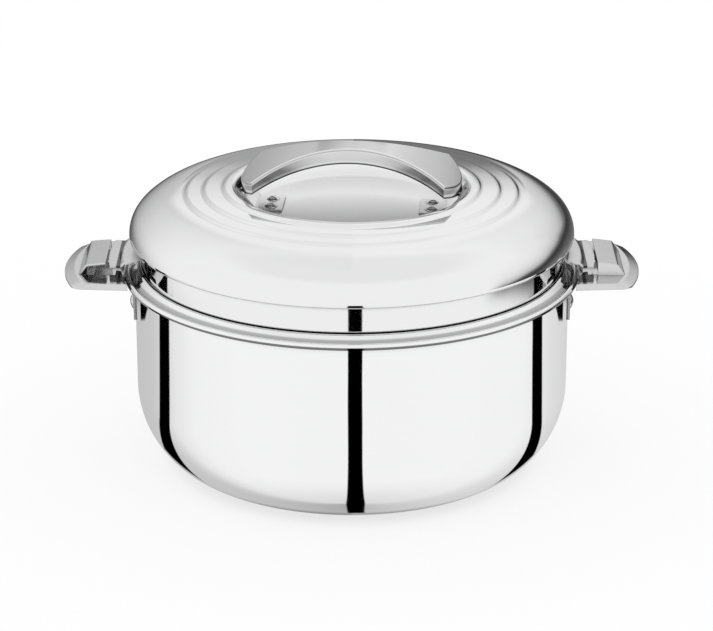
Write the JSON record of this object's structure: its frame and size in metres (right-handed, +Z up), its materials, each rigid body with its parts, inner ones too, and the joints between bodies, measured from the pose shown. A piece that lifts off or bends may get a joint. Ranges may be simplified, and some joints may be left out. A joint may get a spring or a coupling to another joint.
{
  "type": "insulated serving casserole",
  "caption": "Round double-walled stainless-steel serving casserole with a lift-off domed lid, an arched lid handle and two pressed side handles with hooded catches.",
  "frame": {"origin": "centre of the foot, on the surface the pot stands on", "axes": "+Z up, +X towards the right side handle, -Y is the front"},
  "size_m": [0.304, 0.2416, 0.1726],
  "materials": {
    "outer_steel": "mirror-polished stainless steel",
    "inner_steel": "satin stainless steel, food side",
    "handle_steel": "polished pressed stainless steel",
    "rivet_steel": "polished stainless rivets",
    "plain_steel": "mill-finish stainless steel",
    "foam": "rigid polyurethane foam"
  },
  "bodies": {
    "pot": {"outer_shell": "outer_steel", "inner_bowl": "inner_steel", "pot_insulation": "foam", "base_plate": "plain_steel", "right_handle": "handle_steel", "right_handle_bracket": "handle_steel", "right_bracket_backing_plate": "plain_steel", "right_bracket_rivets": "rivet_steel", "left_handle": "handle_steel", "left_handle_bracket": "handle_steel", "left_bracket_backing_plate": "plain_steel", "left_bracket_rivets": "rivet_steel"},
    "lid": {"lid_outer_shell": "outer_steel", "lid_inner_shell": "inner_steel", "lid_insulation": "foam", "lid_handle": "handle_steel", "lid_handle_rivets": "rivet_steel", "lid_handle_backing_plates": "plain_steel", "right_lid_ear": "handle_steel", "right_ear_backing_plate": "plain_steel", "right_ear_rivets": "rivet_steel", "left_lid_ear": "handle_steel", "left_ear_backing_plate": "plain_steel", "left_ear_rivets": "rivet_steel"}
  },
  "joints": [
    {"name": "lid_lift", "type": "slide", "parent": "pot", "child": "lid", "axis": [0, 0, 1], "range_m": [0, 0.14]}
  ]
}
